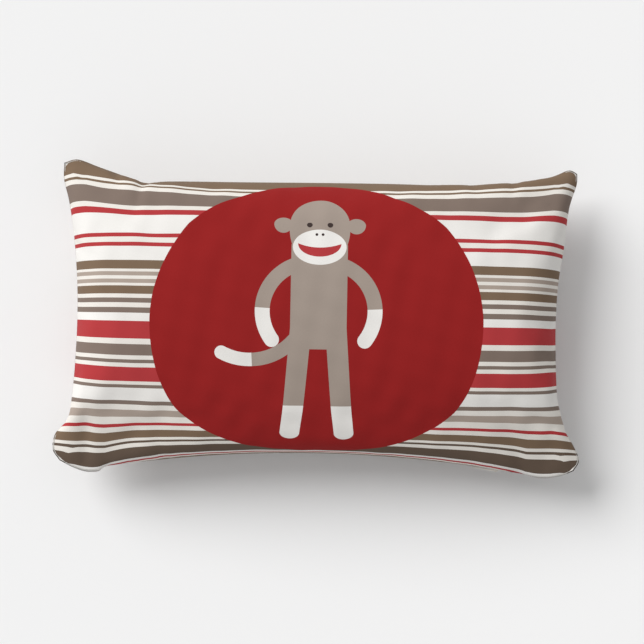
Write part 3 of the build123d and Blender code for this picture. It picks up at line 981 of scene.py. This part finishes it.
def in_rounded_box(paint, place, centre, half, radius):
    """Inside a rectangle with rounded corners."""
    offset = paint.vectors("ABSOLUTE", paint.vectors("SUBTRACT", place, (*centre, 0)))
    past = paint.vectors("SUBTRACT", offset, (half[0] - radius, half[1] - radius, 0))
    past = paint.vectors("MULTIPLY", paint.vectors("MAXIMUM", past, (0, 0, 0)), (1, 1, 0))
    return paint.maths("LESS_THAN", paint.vectors("LENGTH", past), radius)


def in_straight_limb(paint, place, start, end, start_half, end_half):
    """Inside a round-ended limb between two points, whose half width changes evenly."""
    start, end = Vector((*start, 0)), Vector((*end, 0))
    run = end - start
    offset = paint.vectors("SUBTRACT", place, start)
    share = paint.maths("DIVIDE", paint.vectors("DOT_PRODUCT", offset, run), run.length_squared)
    share = paint.maths("MINIMUM", paint.maths("MAXIMUM", share, 0.0), 1.0)
    gap = paint.vectors("DISTANCE", offset, paint.scaled(run, share))
    return paint.maths("LESS_THAN", gap, paint.added(start_half, share, end_half - start_half))


def in_bent_limb(paint, place, centre, radius, half, first, last, cuff):
    """Inside a limb that follows a circular arc, round at its last angle, and which side of its cuff."""
    middle = math.radians((first + last) / 2)
    offset = paint.vectors("SUBTRACT", place, (*centre, 0))
    forward = paint.vectors("DOT_PRODUCT", offset, (math.cos(middle), math.sin(middle), 0))
    sideways = paint.vectors("DOT_PRODUCT", offset, (-math.sin(middle), math.cos(middle), 0))
    angle = paint.maths("ARCTAN2", sideways, forward)
    off_line = paint.maths("ABSOLUTE", paint.maths("SUBTRACT", paint.vectors("LENGTH", offset), radius))
    half_turn = abs(math.radians(last - first)) / 2
    within = paint.maths("LESS_THAN", paint.maths("ABSOLUTE", angle), half_turn)
    tip = math.radians(last)
    tip_centre = (centre[0] + radius * math.cos(tip), centre[1] + radius * math.sin(tip))
    band = paint.both(paint.maths("LESS_THAN", off_line, half), within)
    inside = paint.either(band, in_circle(paint, place, tip_centre, half))
    past = "GREATER_THAN" if last > first else "LESS_THAN"
    return inside, paint.maths(past, angle, math.radians(cuff) - middle)


DISC_CENTRE = (-1, -1)
DISC_HALF_WIDTH = 162
DISC_UPPER = {"half": 155.5, "power": 1.9}
DISC_LOWER = {"half": 159, "power": 2.14}

# The sock monkey, in millimetres from its own middle line: every paired part is drawn once and mirrored.
# Round parts have a centre and a radius or half sizes. LEG has its ends and the half width at each. ARM and
# TAIL are arcs: centre, radius, half width, then the first, last and cuff angles in degrees.
FIGURE_MIDDLE = 1
HEAD = ((0, 90), (29.5, 39.5))
EAR = ((35.5, 93.5), 9)
EYE = ((10, 93.5), 2.8)
NOSTRIL = ((3, 83.5), 1.4)
MUZZLE = ((0, 71), (26, 17.5))
MOUTH = ((0, 74.5), (21, 13))
MOUTH_DIP = 4
TORSO = ((0, 23.5), (27.3, 52), 3)
LEG = ((17, -8), (26.5, -127), 10.3, 9.6)
LEG_CUFF = -86
ARM = ((7.5, 8.5), 47, 7.2, 80, -37, 3)
TAIL = ((-67, 17.7), 57.3, 6.6, -30, -117.6, -87)


def monkey_print(paint, place, colour):
    """A plain folk sock monkey of mirrored circles, ellipses and round-ended strokes, over a colour."""
    place = paint.vectors("SUBTRACT", place, (FIGURE_MIDDLE, 0, 0))
    across, up, _ = paint.split(place)
    mirrored = paint.node("CombineXYZ")
    paint.put(mirrored.inputs[0], paint.maths("ABSOLUTE", across))
    paint.put(mirrored.inputs[1], up)
    folded = mirrored.outputs[0]

    def limb(colour, inside, past_cuff):
        colour = paint.blend(inside, colour, INK["monkey"])
        return paint.blend(paint.both(inside, past_cuff), colour, INK["white"])

    colour = limb(colour, *in_bent_limb(paint, place, *TAIL))
    colour = limb(colour, in_straight_limb(paint, folded, *LEG), paint.maths("LESS_THAN", up, LEG_CUFF))
    colour = limb(colour, *in_bent_limb(paint, folded, *ARM))
    body = paint.either(
        in_rounded_box(paint, folded, *TORSO),
        in_ellipse(paint, folded, *HEAD),
        in_circle(paint, folded, *EAR))
    colour = paint.blend(body, colour, INK["monkey"])
    colour = paint.blend(in_ellipse(paint, folded, *MUZZLE), colour, INK["white"])
    bend = paint.maths("DIVIDE", across, MOUTH[1][0])
    lip = paint.added(MOUTH[0][1] - MOUTH_DIP, MOUTH_DIP, paint.maths("POWER", bend, 2.0))
    mouth = paint.both(in_ellipse(paint, folded, *MOUTH), paint.maths("LESS_THAN", up, lip))
    colour = paint.blend(mouth, colour, INK["red"])
    dots = paint.either(in_circle(paint, folded, *EYE), in_circle(paint, folded, *NOSTRIL))
    return paint.blend(dots, colour, INK["dark"])


def in_disc(paint, place):
    """Inside the printed disc, whose upper and lower halves have their own heights."""
    offset = paint.vectors("ABSOLUTE", paint.vectors("SUBTRACT", place, (*DISC_CENTRE, 0)))
    halves = []
    for half in (DISC_UPPER, DISC_LOWER):
        parts = paint.split(paint.vectors("DIVIDE", offset, (DISC_HALF_WIDTH, half["half"], 1)))
        powers = [paint.maths("POWER", parts[k], half["power"]) for k in (0, 1)]
        halves.append(paint.maths("LESS_THAN", paint.maths("ADD", *powers), 1.0))
    above = paint.maths("GREATER_THAN", paint.split(place)[1], DISC_CENTRE[1])
    below = paint.maths("SUBTRACT", 1.0, above)
    return paint.either(paint.both(above, halves[0]), paint.both(below, halves[1]))


# Spacing of the cover's threads in millimetres, and the depth of its weave
PLAIN_WEAVE = (0.7, 0.06 * MM)


def printed_cloth(name, with_figure):
    """Plain-weave cloth with printed stripes and, on the front, the disc and the sock monkey."""
    paint = Paint(name)
    place = paint.print_place()
    colour = striped(paint, paint.split(place)[1])
    if with_figure:
        colour = paint.blend(in_disc(paint, place), colour, INK["disc"])
        colour = monkey_print(paint, place, colour)
    return woven(paint, colour, place, *PLAIN_WEAVE)


def plain_cloth(name, colour, thread, depth, **finish):
    """Unprinted woven cloth."""
    paint = Paint(name)
    return woven(paint, paint.blend(0.0, colour, colour), paint.object_place(), thread, depth, **finish)


TWIST_PACE, TWIST_WANDER = 1.2, 1.5


def twisted_thread(name, colour):
    """Spun thread: fine twist and fuzz, with painted shade in the grooves of its twist."""
    paint = Paint(name)
    place = paint.object_place()
    twist = paint.node("TexWave", wave_type="BANDS", bands_direction="DIAGONAL")
    paint.put(twist.inputs["Vector"], place)
    twist.inputs["Scale"].default_value = TWIST_PACE
    twist.inputs["Distortion"].default_value = TWIST_WANDER
    fuzz = paint.noise(place, 0.3, 3.0)
    # A darker copy of the colour fills the twist's grooves, in step with the bump: painted shade.
    groove_painted_shade = tuple(0.85 * part for part in colour)
    paint.look(
        Base_Color=paint.blend(twist.outputs["Fac"], groove_painted_shade, colour),
        Roughness=paint.added(0.6, 0.3, fuzz), Sheen_Weight=0.3)
    paint.bump(paint.maths("ADD", twist.outputs["Fac"], fuzz), 0.05 * MM)
    return paint.material


WORN_FROM = 0.62
WORN_SHADE = (0.42, 0.40, 0.38)
GRAIN_GLOSS = 0.16


def moulded(name, colour, roughness, grain, depth, metallic=0.0, wear=0.0):
    """Plastic, enamel or metal: fine grain, uneven gloss, and lighter or darker worn patches."""
    paint = Paint(name)
    place = paint.object_place()
    fine, wide = paint.noise(place, grain, 4.0), paint.noise(place, 12 * grain, 3.0)
    worn = paint.maths("MULTIPLY", wear, paint.maths("GREATER_THAN", wide, WORN_FROM))
    base = paint.blend(wide, tuple(0.9 * part for part in colour), colour)
    paint.look(
        Base_Color=paint.blend(worn, base, WORN_SHADE), Metallic=metallic,
        Roughness=paint.added(roughness - GRAIN_GLOSS / 2, GRAIN_GLOSS, fine))
    paint.bump(paint.maths("ADD", fine, wide), depth)
    return paint.material


def fibre_material():
    """Lofty white polyester fibre: long crossing strands."""
    paint = Paint("polyester_fibre")
    place = paint.object_place()
    strands = []
    for stretch in ((1, 6, 2), (6, 1, 3)):
        strands.append(paint.noise(paint.vectors("MULTIPLY", place, stretch), 4.0, 5.0))
    colour = paint.blend(strands[0], (0.84, 0.84, 0.82), (0.96, 0.96, 0.95))
    paint.look(Base_Color=colour, Roughness=0.95, Sheen_Weight=0.5)
    paint.bump(paint.maths("ADD", *strands), 1.5 * MM)
    return paint.material


def dress(piece, *materials):
    """Gives a piece these materials in place of any it had."""
    piece.data.materials.clear()
    for material in materials:
        piece.data.materials.append(material)


REVERSE = plain_cloth("cloth_reverse", (0.80, 0.77, 0.73), *PLAIN_WEAVE)
SEWING = twisted_thread("sewing_thread", (0.80, 0.78, 0.74))
OVERLOCK_YARN = twisted_thread("overlock_yarn", (0.86, 0.84, 0.81))
INSERT_SHELL = plain_cloth("insert_cloth", (0.88, 0.88, 0.87), 1.1, 0.04 * MM, roughness=0.9, sheen=0.15)
NYLON = moulded("zip_nylon", (0.80, 0.76, 0.70), 0.42, 0.5, 0.01 * MM)
TAPE = plain_cloth("zip_tape_weave", (0.80, 0.765, 0.71), 0.45, 0.08 * MM, roughness=0.75, sheen=0.3)
SATIN = plain_cloth("satin_ribbon", (0.88, 0.88, 0.86), 0.2, 0.02 * MM, roughness=0.4, sheen=0.6)
CRIMP = moulded("crimped_aluminium", (0.74, 0.74, 0.75), 0.35, 0.4, 0.01 * MM, metallic=1.0)
ENAMEL = moulded("cream_enamel", (0.76, 0.72, 0.66), 0.3, 0.8, 0.008 * MM, wear=0.5)

PIECES = (
    (front_cover, "cover_front", "printed_cloth", (printed_cloth("printed_front", True), REVERSE)),
    (back_cover, "cover_back", "striped_cloth", (printed_cloth("striped_back", False), REVERSE)),
    (seam, "cover_seam_thread", "seam_thread", (SEWING,)),
    (overlock, "cover_overlock_thread", "overlock_thread", (OVERLOCK_YARN,)),
    (insert_front, "insert_front", "insert_cloth", (INSERT_SHELL, INSERT_SHELL)),
    (insert_back, "insert_back", "insert_cloth", (INSERT_SHELL, INSERT_SHELL)),
    (insert_seam, "insert_seam_thread", "insert_thread", (SEWING,)),
    (fill, "fibre_fill", "polyester_fibre", (fibre_material(),)),
    (coils[0], "zip_coil_front", "zip_coil", (NYLON,)),
    (coils[1], "zip_coil_back", "zip_coil", (NYLON,)),
    (hems[0], "zip_stitching_front", "seam_thread", (SEWING,)),
    (hems[1], "zip_stitching_back", "seam_thread", (SEWING,)),
)
for piece, node, slot, materials in PIECES:
    indices = np.zeros(len(piece.data.polygons), np.int32)
    piece.data.polygons.foreach_get("material_index", indices)
    dress(piece, *materials)
    piece.data.polygons.foreach_set("material_index", indices)
    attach(piece, "cover")
    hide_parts(node)

NODE_MATERIALS = {
    "care_label": SATIN, "insert_label": SATIN, "zip_tape_front": TAPE, "zip_tape_back": TAPE,
    "zip_top_stops": CRIMP, "zip_bottom_stop": CRIMP, "zip_end_tacks": SEWING,
    "zip_slider": ENAMEL, "zip_pull": ENAMEL,
}
for name, material in NODE_MATERIALS.items():
    for slot in frame["nodes"][name].material_slots:
        slot.material = material

# ---------------------------------------------------------------- stage
CAMERA_AT = Vector((6 * MM, -4 * MM, SEAM_Z + 1.8))
CAMERA_TURN = math.radians(1.05)
CAMERA_LENS = 100.6
SENSOR = 36
LAMP_AT = Vector((-1.9, 1.6, 1.9))
LAMP_SPREAD = math.radians(38)
LAMP_STRENGTH = 2.77
SKY = 0.5
FLOOR_SHADE = 0.86
FLOOR_HALF = 12


def stage():
    """Pale floor, soft light from the upper left, and a camera straight above."""
    corners = [(-FLOOR_HALF, -FLOOR_HALF, 0), (FLOOR_HALF, -FLOOR_HALF, 0),
               (FLOOR_HALF, FLOOR_HALF, 0), (-FLOOR_HALF, FLOOR_HALF, 0)]
    floor = new_mesh("floor", corners, [[0, 1, 2, 3]])
    paint = Paint("floor")
    paint.look(Base_Color=(FLOOR_SHADE, FLOOR_SHADE, FLOOR_SHADE, 1), Roughness=0.9)
    floor.data.materials.append(paint.material)

    world = bpy.data.worlds.new("world")
    bpy.context.scene.world = world
    world.use_nodes = True
    world.node_tree.nodes["Background"].inputs[0].default_value = (1, 1, 1, 1)
    world.node_tree.nodes["Background"].inputs[1].default_value = SKY

    lamp = bpy.data.lights.new("soft_light", "SUN")
    lamp.angle = LAMP_SPREAD
    lamp.energy = LAMP_STRENGTH
    light = bpy.data.objects.new("soft_light", lamp)
    bpy.context.scene.collection.objects.link(light)
    light.location = LAMP_AT
    light.rotation_euler = (-LAMP_AT).to_track_quat("-Z", "Y").to_euler()

    view = bpy.data.cameras.new("camera")
    view.sensor_width = SENSOR
    view.lens = CAMERA_LENS
    camera = bpy.data.objects.new("camera", view)
    bpy.context.scene.collection.objects.link(camera)
    camera.location = CAMERA_AT
    camera.rotation_euler = (0, 0, CAMERA_TURN)
    bpy.context.scene.camera = camera
    bpy.context.scene.view_settings.view_transform = "Standard"


stage()
